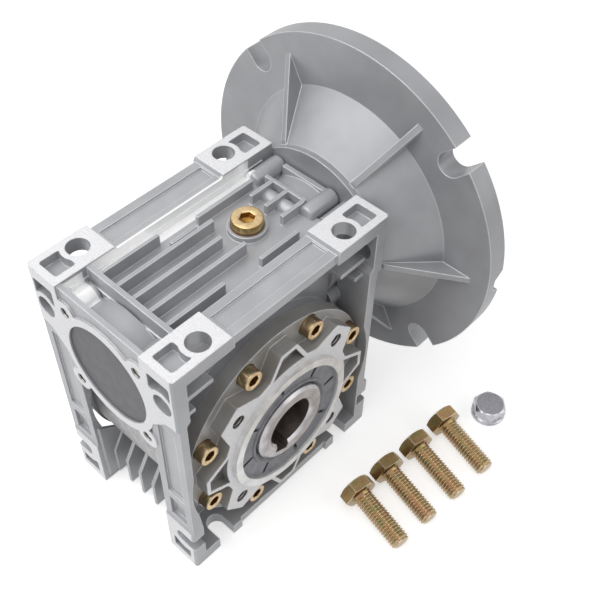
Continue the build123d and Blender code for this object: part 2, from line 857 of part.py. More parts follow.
with BuildPart() as output_shaft:
    with BuildSketch(Plane.XY):
        with BuildLine():
            Polyline(
                (bore_radius, -pilot_face + bore_chamfer),
                (bore_radius + bore_chamfer, -pilot_face),
                (shaft_radius - bore_chamfer, -pilot_face),
                (shaft_radius, -pilot_face + bore_chamfer),
                (shaft_radius, -output_bearing_back),
                (hub_shoulder, -output_bearing_back),
                (hub_shoulder, -hub_web_half),
                (rim_inner - press_fit, -wheel_half_width),
                (rim_inner - press_fit, wheel_half_width),
                (hub_shoulder, hub_web_half),
                (hub_shoulder, output_bearing_back),
                (shaft_radius, output_bearing_back),
                (shaft_radius, pilot_face - bore_chamfer),
                (shaft_radius - bore_chamfer, pilot_face),
                (bore_radius + bore_chamfer, pilot_face),
                (bore_radius, pilot_face - bore_chamfer),
                close=True,
            )
        make_face()
    revolve(axis=Axis.Y)
    with BuildSketch(across(pilot_face)):
        with PolarLocations((keyway_height - bore_radius) / 2, 1, start_angle=keyway_angle):
            Rectangle(keyway_height - bore_radius, keyway_width)
    extrude(amount=2 * pilot_face, mode=Mode.SUBTRACT)

throat_radius = worm_pitch_radius - tooth_height
throat_half = sqrt(throat_radius**2 - (throat_radius - wheel_rise) ** 2)
with BuildPart() as worm_wheel_rim:
    with BuildSketch(Plane.XY):
        with BuildLine():
            Polyline(
                (wheel_outer, throat_half),
                (wheel_outer, wheel_half_width - rim_bevel),
                (wheel_outer - rim_bevel, wheel_half_width),
                (rim_inner, wheel_half_width),
                (rim_inner, -wheel_half_width),
                (wheel_outer - rim_bevel, -wheel_half_width),
                (wheel_outer, -wheel_half_width + rim_bevel),
                (wheel_outer, -throat_half),
            )
            ThreePointArc((wheel_outer, -throat_half), (wheel_outer - wheel_rise, 0),
                          (wheel_outer, throat_half))
        make_face()
    revolve(axis=Axis.Y)
    gap_cut = loft([gap_section(-wheel_half_width - 0.5), gap_section(0),
                    gap_section(wheel_half_width + 0.5)], mode=Mode.PRIVATE)
    gap_cuts = [gap_cut.rotate(Axis.Y, tooth * 360 / wheel_teeth) for tooth in range(wheel_teeth)]
    add(gap_cuts, mode=Mode.SUBTRACT)

thread_half_length = worm_turns * axial_pitch / 2
with BuildPart() as worm_shaft:
    with BuildSketch(through_worm(90)):
        with BuildLine():
            Polyline(
                (-rear_bearing_face - end_chamfer, 0),
                (-rear_bearing_face - end_chamfer, rear_journal - end_chamfer),
                (-rear_bearing_face, rear_journal),
                (-rear_bearing_back, rear_journal),
                (-rear_bearing_back, quill_radius),
                (-worm_core_half - core_runout, quill_radius),
                (-worm_core_half, worm_root),
                (worm_core_half, worm_root),
                (worm_core_half + core_runout, worm_tip),
                (input_bearing_back, worm_tip),
                (input_bearing_back, quill_radius),
                (quill_end - end_chamfer, quill_radius),
                (quill_end, quill_radius - end_chamfer),
                (quill_end, 0),
                close=True,
            )
        make_face()
    revolve(axis=Axis((0, 0, centre_distance), (1, 0, 0)))
    with BuildLine() as path:
        Helix(pitch=axial_pitch, height=2 * thread_half_length, radius=worm_pitch_radius,
              center=(-thread_half_length, 0, centre_distance), direction=(1, 0, 0))
    thread_base = worm_root - 0.3
    base_half = thread_half(thread_base) - thread_relief
    crest_half = thread_half(worm_tip) - thread_relief
    with BuildSketch(Plane(origin=path.line @ 0, x_dir=(1, 0, 0), z_dir=path.line % 0)):
        with BuildLine():
            Polyline(
                (-base_half, thread_base - worm_pitch_radius),
                (base_half, thread_base - worm_pitch_radius),
                (crest_half, tooth_height),
                (-crest_half, tooth_height),
                close=True,
            )
        make_face()
    sweep(path=path.line, is_frenet=True)
    with BuildSketch(on_worm(quill_end)):
        Circle(input_bore)
        with Locations((0, (input_keyway_height - input_bore) / 2)):
            Rectangle(input_keyway_width, input_keyway_height - input_bore)
    extrude(amount=-input_bore_depth, mode=Mode.SUBTRACT)

with BuildPart() as motor_flange:
    with BuildSketch(through_worm(90)):
        with BuildLine():
            Polyline(
                (half_length - flange_spigot, quill_radius + flange_bore_gap),
                (half_length - flange_spigot, worm_seat_radius - spigot_fit),
                (half_length, worm_seat_radius - spigot_fit),
                (half_length, neck_radius),
                (half_length + neck_width, neck_radius),
                (rim_back, cone_radius),
                (rim_back, flange_radius),
                (motor_face, flange_radius),
                (motor_face, motor_pilot_radius),
                (motor_face - motor_pilot_depth, motor_pilot_radius),
                (motor_face - motor_pilot_depth, cavity_mouth),
                (flange_seat, cavity_floor),
                (flange_seat, quill_radius + flange_bore_gap),
                close=True,
            )
        make_face()
    revolve(axis=Axis((0, 0, centre_distance), (1, 0, 0)))
    for rib in range(rib_count):
        with BuildSketch(through_worm(rib * 360 / rib_count)):
            with BuildLine():
                Polyline(
                    (half_length + neck_width - 1, neck_radius - rib_sink),
                    (half_length + neck_width, rib_low),
                    (rim_back + 0.5, rib_high),
                    (rim_back + 0.5, cone_radius - rib_sink),
                    close=True,
                )
            make_face()
        extrude(amount=rib_thickness / 2, both=True)
    with BuildSketch(on_worm(motor_face)):
        with PolarLocations(motor_pcd / 2, 4, start_angle=45):
            Circle(motor_slot_radius)
        with PolarLocations(motor_pcd / 2 + flange_rim_width, 4, start_angle=45):
            Rectangle(2 * flange_rim_width, 2 * motor_slot_radius)
    extrude(amount=-flange_rim_width, mode=Mode.SUBTRACT)
    for side in (-1, 1):
        with BuildSketch(Plane(origin=(motor_face, side * (flange_radius - notch_reach), centre_distance),
                               x_dir=(1, 0, 0), z_dir=(0, side, 0))):
            with BuildLine():
                Polyline(
                    (1, -notch_half),
                    (0, -notch_half),
                    (-notch_depth, -notch_floor_half),
                    (-notch_depth, notch_floor_half),
                    (0, notch_half),
                    (1, notch_half),
                    close=True,
                )
            make_face()
        extrude(amount=2 * notch_reach, mode=Mode.SUBTRACT)
    with BuildSketch(on_worm(half_length)):
        with PolarLocations(end_pcd / 2, 4, start_angle=45):
            Circle(screw_radius + screw_clearance)
    extrude(amount=flange_floor, mode=Mode.SUBTRACT)
    with BuildSketch(on_worm(flange_seat)):
        with PolarLocations(end_pcd / 2, 4, start_angle=45):
            Circle(spot_face_radius)
    extrude(amount=socket_head_height, mode=Mode.SUBTRACT)

flange_screw = socket_screw(flange_screw_length)
with BuildPart(on_worm(flange_seat)) as flange_screws:
    with PolarLocations(end_pcd / 2, 4, start_angle=45):
        add(flange_screw)

with BuildPart() as filler_plug:
    with BuildSketch(Plane.XY.offset(washer_top)):
        with Locations((filler_x, 0)):
            Circle(filler_head_radius)
    extrude(amount=filler_head_height)
    chamfer(filler_plug.edges().group_by(Axis.Z)[-1], socket_chamfer)
    with BuildSketch(Plane.XY.offset(washer_top)):
        with Locations((filler_x, 0)):
            Circle(filler_thread_radius - filler_thread_fit)
    extrude(amount=-filler_thread_length)
    with BuildSketch(Plane.XY.offset(washer_top)):
        with Locations((filler_x, 0)):
            RegularPolygon(filler_socket / 2, 6, major_radius=False)
    extrude(amount=2 * filler_head_height, mode=Mode.SUBTRACT)

with BuildPart() as filler_washer:
    with BuildSketch(Plane.XY.offset(filler_boss_top)):
        with Locations((filler_x, 0)):
            Circle(washer_radius)
            Circle(filler_thread_radius, mode=Mode.SUBTRACT)
    extrude(amount=washer_thickness)

with BuildPart() as rear_cap:
    with BuildSketch(on_worm(-cap_face)):
        Circle(worm_seat_radius - press_fit)
    extrude(amount=cap_thickness)
    with BuildSketch(on_worm(-cap_face + cap_wall)):
        Circle(worm_seat_radius - cap_wall)
    extrude(amount=cap_thickness, mode=Mode.SUBTRACT)

# A loose bolt lies on a flat of its head and on the tip of its shank
bolt_fall = (bolt_head_across / 2 - bolt_radius) / bolt_shank
bolt_rise = -feet_depth + bolt_head_across / 2 + bolt_head_height * bolt_fall
with BuildPart() as motor_bolt:
    with BuildSketch():
        RegularPolygon(bolt_head_across / 2, 6, major_radius=False)
    extrude(amount=bolt_head_height)
    with BuildSketch(Plane.XY.offset(bolt_head_height)):
        Circle(bolt_radius)
    extrude(amount=bolt_shank)
    chamfer(motor_bolt.edges().group_by(Axis.Z)[-1], end_chamfer)

with BuildPart() as motor_bolts:
    for head_x, head_y, head_turn in bolt_places:
        turn = radians(head_turn)
        lie = Plane(origin=(head_x, head_y, bolt_rise), x_dir=(cos(turn), -sin(turn), 0),
                    z_dir=(-sin(turn), -cos(turn), -bolt_fall))
        add(lie * motor_bolt.part)

with BuildPart() as vent_plug:
    with BuildSketch(Plane.XY.offset(-feet_depth)):
        with Locations((vent_x, vent_y)):
            Circle(vent_collar_radius)
    extrude(amount=vent_collar_height)
    with BuildSketch(Plane.XY.offset(-feet_depth + vent_collar_height)):
        with Locations((vent_x, vent_y)):
            RegularPolygon(vent_across / 2, 6, major_radius=False)
    extrude(amount=vent_hex_height)

# Bearings, seals and circlips
front_plane = Plane(origin=(0, -output_bearing_back, 0), x_dir=(1, 0, 0), z_dir=(0, 0, -1))
back_plane = Plane(origin=(0, output_bearing_back, 0), x_dir=(1, 0, 0), z_dir=(0, 0, 1))
rear_plane = Plane(origin=(-rear_bearing_face, 0, centre_distance), x_dir=(0, 0, 1), z_dir=(0, 1, 0))
input_plane = Plane(origin=(input_bearing_back, 0, centre_distance), x_dir=(0, 0, 1), z_dir=(0, 1, 0))
seal_plane = Plane(origin=(input_seal_face - input_seal_width, 0, centre_distance),
                   x_dir=(0, 0, 1), z_dir=(0, 1, 0))
output_outer = outer_ring(shaft_radius, output_bearing_radius, output_bearing_width)
output_inner = inner_ring(shaft_radius, output_bearing_radius, output_bearing_width)
output_seal = Pos(0, output_seal_face - output_seal_width - output_bearing_back) * lip_seal(
    shaft_radius, output_seal_radius, output_seal_width)

front_bearing_outer = turned(output_outer, front_plane)
front_bearing_inner = turned(output_inner, front_plane)
back_bearing_outer = turned(output_outer, back_plane)
back_bearing_inner = turned(output_inner, back_plane)
front_seal = turned(output_seal, front_plane)
back_seal = turned(output_seal, back_plane)
rear_bearing_outer = turned(outer_ring(rear_journal, worm_seat_radius, rear_bearing_width), rear_plane)
rear_bearing_inner = turned(inner_ring(rear_journal, worm_seat_radius, rear_bearing_width), rear_plane)
input_bearing_outer = turned(outer_ring(quill_radius, worm_seat_radius, input_bearing_width), input_plane)
input_bearing_inner = turned(inner_ring(quill_radius, worm_seat_radius, input_bearing_width), input_plane)
input_seal = turned(lip_seal(quill_radius, worm_seat_radius, input_seal_width), seal_plane)
rear_circlip = circlip(on_worm(-rear_bearing_face - circlip_thickness))
input_circlip = circlip(on_worm(input_bearing_face))

pieces = {
    "housing": housing.part,
    "output_cover": output_cover.part,
    "cover_o_ring": cover_o_ring.part,
    "cover_screws": cover_screws.part,
    "output_shaft": output_shaft.part,
    "worm_wheel_rim": worm_wheel_rim.part,
    "front_bearing_outer": front_bearing_outer,
    "front_bearing_inner": front_bearing_inner,
    "back_bearing_outer": back_bearing_outer,
    "back_bearing_inner": back_bearing_inner,
    "front_seal": front_seal,
    "back_seal": back_seal,
    "worm_shaft": worm_shaft.part,
    "rear_bearing_outer": rear_bearing_outer,
    "rear_bearing_inner": rear_bearing_inner,
    "input_bearing_outer": input_bearing_outer,
    "input_bearing_inner": input_bearing_inner,
    "input_seal": input_seal,
    "rear_circlip": rear_circlip,
    "input_circlip": input_circlip,
    "rear_cap": rear_cap.part,
    "motor_flange": motor_flange.part,
    "flange_screws": flange_screws.part,
    "filler_plug": filler_plug.part,
    "filler_washer": filler_washer.part,
    "motor_bolts": motor_bolts.part,
    "vent_plug": vent_plug.part,
}
for name, piece in pieces.items():
    piece.label = name
    export_step(piece, "parts/" + name + ".step")
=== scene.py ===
# Worm gear reducer with a round motor flange, four loose bolts and a plug, on a white studio floor
import math

import bmesh
import bpy
from mathutils import Matrix, Vector


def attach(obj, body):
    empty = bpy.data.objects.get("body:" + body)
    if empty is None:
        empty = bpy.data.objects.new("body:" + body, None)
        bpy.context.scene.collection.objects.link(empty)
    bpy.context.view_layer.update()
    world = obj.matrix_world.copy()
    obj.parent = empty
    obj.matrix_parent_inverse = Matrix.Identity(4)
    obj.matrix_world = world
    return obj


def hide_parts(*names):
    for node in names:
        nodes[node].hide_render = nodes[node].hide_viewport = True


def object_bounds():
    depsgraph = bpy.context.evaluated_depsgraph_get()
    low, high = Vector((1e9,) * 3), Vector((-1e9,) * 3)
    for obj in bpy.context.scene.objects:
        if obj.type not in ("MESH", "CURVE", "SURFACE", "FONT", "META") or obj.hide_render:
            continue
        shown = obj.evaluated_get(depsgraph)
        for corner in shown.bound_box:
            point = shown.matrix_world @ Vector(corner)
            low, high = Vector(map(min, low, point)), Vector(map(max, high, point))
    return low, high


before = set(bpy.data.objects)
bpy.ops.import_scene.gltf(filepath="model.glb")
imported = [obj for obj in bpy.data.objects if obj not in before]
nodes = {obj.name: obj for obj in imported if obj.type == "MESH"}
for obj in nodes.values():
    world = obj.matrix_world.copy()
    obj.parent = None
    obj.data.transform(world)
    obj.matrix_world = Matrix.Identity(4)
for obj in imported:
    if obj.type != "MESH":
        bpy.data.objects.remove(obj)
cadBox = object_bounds()
mm = 0.001
print("frame loaded")


def hexColour(text):
    # sRGB hex to the linear values that the shaders take
    parts = [int(text[i:i + 2], 16) / 255 for i in (1, 3, 5)]
    return [c / 12.92 if c <= 0.04045 else ((c + 0.055) / 1.055) ** 2.4 for c in parts] + [1.0]


def addNode(tree, kind, settings):
    # one node with its settings: an output is linked, a hex colour turned linear, stops fill a colour ramp
    node = tree.nodes.new("ShaderNode" + kind)
    for key, value in settings.items():
        if key == "stops":
            while len(node.color_ramp.elements) < len(value):
                node.color_ramp.elements.new(0.5)
            for element, (position, colour) in zip(node.color_ramp.elements, value):
                element.position = position
                element.color = hexColour(colour)
        elif isinstance(value, bpy.types.NodeSocket):
            tree.links.new(value, node.inputs[key])
        elif isinstance(key, int) or key in node.inputs:
            node.inputs[key].default_value = hexColour(value) if isinstance(value, str) else value
        else:
            setattr(node, key, value)
    return node


def startMaterial(name):
    material = bpy.data.materials.new(name)
    material.use_nodes = True
    tree = material.node_tree
    tree.nodes.clear()
    return material, tree, addNode(tree, "TexCoord", {}).outputs["Object"]


def closeMaterial(tree, settings):
    shader = addNode(tree, "BsdfPrincipled", settings)
    addNode(tree, "OutputMaterial", {"Surface": shader.outputs[0]})


def within(tree, spot, low, high, soft=0.6):
    # 1 inside a box given in millimetres, falling to 0 over its soft edge
    split = addNode(tree, "SeparateXYZ", {"Vector": spot})
    result = 1.0
    for axis in range(3):
        for edge, way in ((low[axis], 1), (high[axis], -1)):
            step = addNode(tree, "MapRange", {"Value": split.outputs[axis], "From Max": edge * mm,
                                              "From Min": (edge - way * soft) * mm}).outputs[0]
            result = addNode(tree, "Math", {"operation": "MULTIPLY", 0: result, 1: step}).outputs[0]
    return result


bevelSamples = 6
# how far the rounded and the flat normal agree where an edge band starts, and where it is full
edgeSpan = {"start": 0.985, "full": 0.80}


def edgeShare(tree, radius, gain):
    # near the gain along edges, radius in millimetres: the band where paint wears thin and a highlight is painted,
    # and where grime gathers on milled faces
    soft = addNode(tree, "Bevel", {"Radius": radius * mm, "samples": bevelSamples}).outputs[0]
    flat = addNode(tree, "NewGeometry", {}).outputs["Normal"]
    same = addNode(tree, "VectorMath", {"operation": "DOT_PRODUCT", 0: soft, 1: flat}).outputs["Value"]
    return addNode(tree, "MapRange", {"Value": same, "From Min": edgeSpan["start"],
                                      "From Max": edgeSpan["full"], "To Max": gain}).outputs[0]


casting = {
    "pebble": 1.1,  # mm, the orange-peel lumps of the cast surface under the paint
    "cloud": 18.0,  # mm, slow change of shade and of sheen over the casting
    "sheen": (0.34, 0.40),
    "corner": 0.6,  # mm, radius that the shading rounds the edges by
    "wearAndHighlightReach": 0.9,  # mm from an edge that the paint is worn bright, with a painted highlight along every edge
    "wearAndHighlightShare": 0.9,
    # pale colour of worn edges, which also paints the highlight that edges catch
    "wearAndHighlightColour": "#eeeef0",
    # pure white of the bare metal patches, a painted highlight
    "bareGlint": "#ffffff",
    "grit": 0.8,  # mm, specks of paint left on bare metal
    "gritFade": 0.10,
    # bare milled metal by the far rail and at the far end of the ledge, painted pure white as its glint, a painted
    # highlight, and how little grit shows in it
    "bareGlintBoxes": (((-41.5, 20.2, 74.6), (44.4, 25.2, 83.0), 0.12), ((-57.2, 15.0, 66.0), (-47.0, 25.2, 82.0), 0.22)),
    # as-cast skin left brown under the worm barrel, in blots, over a soft edge, all in mm
    "raw": "#7d6c5e",
    "rawBox": ((-57.0, -23.0, -14.0), (-36.0, 23.0, 25.0)),
    "rawEdge": 4.0,
    "blot": 3,
    "blotShare": 0.5,
}


def paintedCasting(name, dark, light, marks):
    # Silver epoxy paint on die-cast aluminium: satin grey over fine lumps, worn bright along the edges, with a
    # painted highlight on them
    c = casting
    material, tree, spot = startMaterial(name)
    cloud = addNode(tree, "TexNoise", {"Vector": spot, "Scale": 1 / (c["cloud"] * mm), "Detail": 2.0}).outputs[0]
    colour = addNode(tree, "ValToRGB", {"Fac": cloud, "stops": ((0.35, dark), (0.65, light))}).outputs[0]
    # edges, concave ones too, worn and painted pale as a highlight
    wearAndHighlight = edgeShare(tree, c["wearAndHighlightReach"], c["wearAndHighlightShare"])
    colour = addNode(tree, "Mix", {"data_type": "RGBA", 0: wearAndHighlight, 6: colour, 7: c["wearAndHighlightColour"]}).outputs[2]
    if marks:
        grit = addNode(tree, "TexNoise", {"Vector": spot, "Scale": 1 / (c["grit"] * mm), "Detail": 3.0}).outputs[0]
        # bare metal patches painted white, a painted highlight of the lamps
        for low, high, clean in c["bareGlintBoxes"]:
            spots = addNode(tree, "MapRange", {"Value": grit, "From Min": clean,
                                               "From Max": clean + c["gritFade"]}).outputs[0]
            box = within(tree, spot, low, high)
            share = addNode(tree, "Math", {"operation": "MULTIPLY", 0: box, 1: spots}).outputs[0]
            colour = addNode(tree, "Mix", {"data_type": "RGBA", 0: share, 6: colour, 7: c["bareGlint"]}).outputs[2]
        blot = addNode(tree, "TexNoise", {"Vector": spot, "Scale": 1 / (c["blot"] * mm), "Detail": 6.0}).outputs[0]
        stain = addNode(tree, "MapRange", {"Value": blot, "From Min": 0.38, "From Max": 0.68,
                                           "To Max": c["blotShare"]}).outputs[0]
        box = within(tree, spot, *c["rawBox"], c["rawEdge"])
        share = addNode(tree, "Math", {"operation": "MULTIPLY", 0: box, 1: stain}).outputs[0]
        colour = addNode(tree, "Mix", {"data_type": "RGBA", 0: share, 6: colour, 7: c["raw"]}).outputs[2]
    lumps = addNode(tree, "TexNoise", {"Vector": spot, "Scale": 1 / (c["pebble"] * mm), "Detail": 1.0}).outputs[0]
    sheen = addNode(tree, "MapRange", {"Value": cloud, "From Min": 0.3, "From Max": 0.7,
                                       "To Min": c["sheen"][0], "To Max": c["sheen"][1]}).outputs[0]
    corner = addNode(tree, "Bevel", {"Radius": c["corner"] * mm, "samples": bevelSamples}).outputs[0]
    relief = addNode(tree, "Bump", {"Strength": 0.30, "Distance": 0.05 * mm, "Height": lumps,
                                    "Normal": corner}).outputs[0]
    closeMaterial(tree, {"Base Color": colour, "Metallic": 0.22, "Roughness": sheen, "Normal": relief})
    return material


milling = {
    "line": 0.35,  # mm between tool marks, coarser than the real ones so that they show
    "slant": (0.3, 0.4, 0.6),  # way of the marks, off every axis so that each face shows some
    "stretch": (0.06, 1.0, 1.0),
    "speckle": 2.4,  # mm, pits and the grime's patches
    "grimeReach": 1.6,  # mm from an edge
    "corner": 0.3,  # mm, radius that the shading rounds the edges by
    "tones": ((0.30, "#dadadc"), (0.62, "#ededef")),
    "pit": "#8f887e",
    "pitShare": 0.5,
    "grime": "#75695c",
    "grimeShare": 0.7,
}


def machinedAluminium():
    # Milled aluminium: near white, fine tool marks one way, small pits, and grime that gathers at the edges
    m = milling
    material, tree, spot = startMaterial("milled aluminium")
    turned = addNode(tree, "Mapping", {"Rotation": m["slant"], "Vector": spot}).outputs[0]
    drawn = addNode(tree, "Mapping", {"Scale": m["stretch"], "Vector": turned}).outputs[0]
    marks = addNode(tree, "TexNoise", {"Vector": drawn, "Scale": 1 / (m["line"] * mm), "Detail": 2.0}).outputs[0]
    colour = addNode(tree, "ValToRGB", {"Fac": marks, "stops": m["tones"]}).outputs[0]
    speckle = addNode(tree, "TexNoise", {"Vector": spot, "Scale": 1 / (m["speckle"] * mm), "Detail": 5.0,
                                         "Roughness": 0.8}).outputs[0]
    pits = addNode(tree, "MapRange", {"Value": speckle, "From Min": 0.68, "From Max": 0.76,
                                      "To Max": m["pitShare"]}).outputs[0]
    colour = addNode(tree, "Mix", {"data_type": "RGBA", 0: pits, 6: colour, 7: m["pit"]}).outputs[2]
    gathered = addNode(tree, "MapRange", {"Value": speckle, "From Min": 0.54, "From Max": 0.64,
                                          "To Max": m["grimeShare"]}).outputs[0]
    edges = edgeShare(tree, m["grimeReach"], 1.0)
    grime = addNode(tree, "Math", {"operation": "MULTIPLY", 0: edges, 1: gathered}).outputs[0]
    colour = addNode(tree, "Mix", {"data_type": "RGBA", 0: grime, 6: colour, 7: m["grime"]}).outputs[2]
    corner = addNode(tree, "Bevel", {"Radius": m["corner"] * mm, "samples": bevelSamples}).outputs[0]
    relief = addNode(tree, "Bump", {"Strength": 0.18, "Distance": 0.03 * mm, "Height": marks,
                                    "Normal": corner}).outputs[0]
    closeMaterial(tree, {"Base Color": colour, "Metallic": 0.20, "Roughness": 0.52, "Normal": relief})
    return material


def turnedMetal(name, dark, light, roughness, metallic, axis, line=0.30):
    # Lathe-turned metal: rings round one axis, line is their spacing in mm, coarser than real to show
    smearSize = 6
    material, tree, spot = startMaterial(name)
    flatten = [0.0 if i == axis else 1.0 for i in range(3)]
    flat = addNode(tree, "Mapping", {"Scale": flatten, "Vector": spot}).outputs[0]
    radius = addNode(tree, "VectorMath", {"operation": "LENGTH", 0: flat}).outputs["Value"]
    rings = addNode(tree, "TexNoise", {"noise_dimensions": "1D", "W": radius, "Scale": 1 / (line * mm),
                                       "Detail": 2.0}).outputs[0]
    smear = addNode(tree, "TexNoise", {"Vector": spot, "Scale": 1 / (smearSize * mm), "Detail": 3.0}).outputs[0]
    both = addNode(tree, "Math", {"operation": "MULTIPLY_ADD", 0: rings, 1: 0.6, 2: smear}).outputs[0]
    colour = addNode(tree, "ValToRGB", {"Fac": both, "stops": ((0.50, dark), (0.95, light))}).outputs[0]
    relief = addNode(tree, "Bump", {"Strength": 0.12, "Distance": 0.02 * mm, "Height": rings}).outputs[0]
    closeMaterial(tree, {"Base Color": colour, "Metallic": metallic, "Roughness": roughness,
                         "Normal": relief})
    return material


def mouldedRubber(name, dark, light, roughness):
    # Moulded nitrile rubber: matt, faintly mottled, with a little grit, both sizes in mm
    mottleSize, gritSize = 5, 0.4
    material, tree, spot = startMaterial(name)
    mottle = addNode(tree, "TexNoise", {"Vector": spot, "Scale": 1 / (mottleSize * mm), "Detail": 4.0}).outputs[0]
    colour = addNode(tree, "ValToRGB", {"Fac": mottle, "stops": ((0.35, dark), (0.68, light))}).outputs[0]
    grit = addNode(tree, "TexNoise", {"Vector": spot, "Scale": 1 / (gritSize * mm), "Detail": 2.0}).outputs[0]
    relief = addNode(tree, "Bump", {"Strength": 0.15, "Distance": 0.03 * mm, "Height": grit}).outputs[0]
    closeMaterial(tree, {"Base Color": colour, "Roughness": roughness, "Normal": relief})
    return material


plating = {
    "drift": 4.5,  # mm, patches of one tint of the film
    "tints": (0.30, 0.42, 0.52, 0.62, 0.74),
    "wave": 2.5,  # mm, soft waves under the plating
    # pale edge colour: wear with a painted highlight
    "wearAndHighlight": "#f2e6cc",
}


def yellowZinc(name, tones, edge, wearAndHighlight):
    # Yellow chromate on zinc: gold with green and pink drifts of the passivation film, worn pale at the edges, with
    # a painted highlight on them
    material, tree, spot = startMaterial(name)
    drift = addNode(tree, "TexNoise", {"Vector": spot, "Scale": 1 / (plating["drift"] * mm),
                                       "Detail": 3.0}).outputs[0]
    colour = addNode(tree, "ValToRGB", {"Fac": drift, "stops": tuple(zip(plating["tints"], tones))}).outputs[0]
    colour = addNode(tree, "Mix", {"data_type": "RGBA", 0: edgeShare(tree, edge, wearAndHighlight), 6: colour,
                                   7: plating["wearAndHighlight"]}).outputs[2]
    wave = addNode(tree, "TexNoise", {"Vector": spot, "Scale": 1 / (plating["wave"] * mm),
                                      "Detail": 1.0}).outputs[0]
    relief = addNode(tree, "Bump", {"Strength": 0.10, "Distance": 0.05 * mm, "Height": wave}).outputs[0]
    closeMaterial(tree, {"Base Color": colour, "Metallic": 0.92, "Roughness": 0.27, "Normal": relief})
    return material


def plainMetal(name, dark, light, roughness, metallic, lump=3.0):
    # Plain metal: a slow change of shade, lump in mm, and a fine grain that only just shows
    grainSize = 0.35
    material, tree, spot = startMaterial(name)
    shade = addNode(tree, "TexNoise", {"Vector": spot, "Scale": 1 / (lump * mm), "Detail": 4.0}).outputs[0]
    colour = addNode(tree, "ValToRGB", {"Fac": shade, "stops": ((0.32, dark), (0.70, light))}).outputs[0]
    grain = addNode(tree, "TexNoise", {"Vector": spot, "Scale": 1 / (grainSize * mm), "Detail": 2.0}).outputs[0]
    relief = addNode(tree, "Bump", {"Strength": 0.10, "Distance": 0.02 * mm, "Height": grain}).outputs[0]
    closeMaterial(tree, {"Base Color": colour, "Metallic": metallic, "Roughness": roughness, "Normal": relief})
    return material


def cutThread(name, axis, pitch):
    # Tapped hole in aluminium: painted shade between the threads and a painted highlight on the crests, pitch in mm
    # along one axis
    material, tree, spot = startMaterial(name)
    split = addNode(tree, "SeparateXYZ", {"Vector": spot})
    turns = addNode(tree, "Math", {"operation": "MULTIPLY", 0: split.outputs[axis],
                                   1: 2 / (pitch * mm)}).outputs[0]
    ridge = addNode(tree, "Math", {"operation": "PINGPONG", 0: turns, 1: 1.0}).outputs[0]
    # dark roots are painted shade, bright crests a painted highlight
    colour = addNode(tree, "ValToRGB", {"Fac": ridge,
                                        "stops": ((0.16, "#3a3836"), (0.80, "#d6d4d2"))}).outputs[0]
    relief = addNode(tree, "Bump", {"Strength": 0.8, "Distance": 0.25 * mm, "Height": ridge}).outputs[0]
    closeMaterial(tree, {"Base Color": colour, "Metallic": 0.6, "Roughness": 0.35, "Normal": relief})
    return material


finish = {
    "housingPaint": paintedCasting("painted housing casting", "#abacaf", "#b6b7ba", True),
    "coverPaint": paintedCasting("painted cover casting", "#a19e9a", "#adacaa", False),
    "flangePaint": paintedCasting("painted flange casting", "#9a9b9e", "#a4a5a8", False),
    "milled": machinedAluminium(),
    "pilot": turnedMetal("turned aluminium pilot", "#cfccc9", "#f0f0f0", 0.34, 0.45, 1),
    "crossThread": cutThread("tapped hole across", 1, 1.25),
    "endThread": cutThread("tapped hole along", 0, 1.0),
    "bearingSteel": turnedMetal("ground bearing steel", "#a9aaac", "#d7d8da", 0.16, 1.0, 1, 0.5),
    "shaft": turnedMetal("turned steel shaft end", "#9a9697", "#c8c5c7", 0.36, 0.7, 1, 0.6),
    # the bore is oiled steel, painted darker as shade inside it
    "shaftBore": turnedMetal("oiled keyed bore in painted shade", "#5c544f", "#8a807b", 0.40, 0.7, 1, 0.6),
    "wormSteel": turnedMetal("ground worm steel", "#86878a", "#b9babd", 0.22, 1.0, 0, 0.6),
    "bronze": plainMetal("cast tin bronze", "#a47c46", "#c9a26a", 0.34, 0.9),
    "sealRubber": mouldedRubber("nitrile seal", "#7e7f84", "#919297", 0.50),
    "sealGroove": mouldedRubber("shaded seal groove", "#38383c", "#48484c", 0.70),
    "capRubber": mouldedRubber("rubber coated cap", "#4c4b50", "#58575d", 0.48),
    # the last two numbers give how far in mm and how strongly the edges are painted pale, wear with a painted
    # highlight
    "zinc": yellowZinc("yellow zinc plated steel", ("#969270", "#a49370", "#b09a78", "#ac8c70", "#9e9a76"),
                       0.45, 0.35),
    "zincHead": yellowZinc("yellow zinc hexagon", ("#8a8058", "#948054", "#a0865c", "#987656", "#928c62"),
                           0.9, 0.95),
    # the faces of the heads are painted paler than their sides as a highlight, the sockets darker as painted shade
    # in the recess
    "zincFaceHighlight": plainMetal("pale zinc head face in painted highlight", "#c4a67a", "#e0c8a2", 0.32, 0.8, 2.0),
    "zincSocketShade": plainMetal("zinc socket in painted shade", "#5e3d20", "#8a6138", 0.45, 0.8, 1.5),
    "brass": plainMetal("turned brass", "#ac9260", "#c8b080", 0.24, 0.9),
    "brassFaceHighlight": plainMetal("pale brass face in painted highlight", "#c9ac7c", "#dcc59c", 0.40, 0.7, 1.0),
    "brassSocketShade": plainMetal("pressed brass socket in painted shade", "#8c6a34", "#bc9654", 0.30, 0.9, 1.0),
    "copper": plainMetal("copper washer", "#5c4c42", "#80695a", 0.36, 0.8),
    "plug": plainMetal("bright zinc plated steel", "#a6a6ac", "#c6c6cb", 0.22, 0.9, 6.0),
    "plugFace": plainMetal("matt plug face", "#86868c", "#a6a6ac", 0.50, 0.4, 0.6),
    "spring": plainMetal("phosphated spring steel", "#363638", "#4c4c4e", 0.45, 0.6),
}
print("materials made")

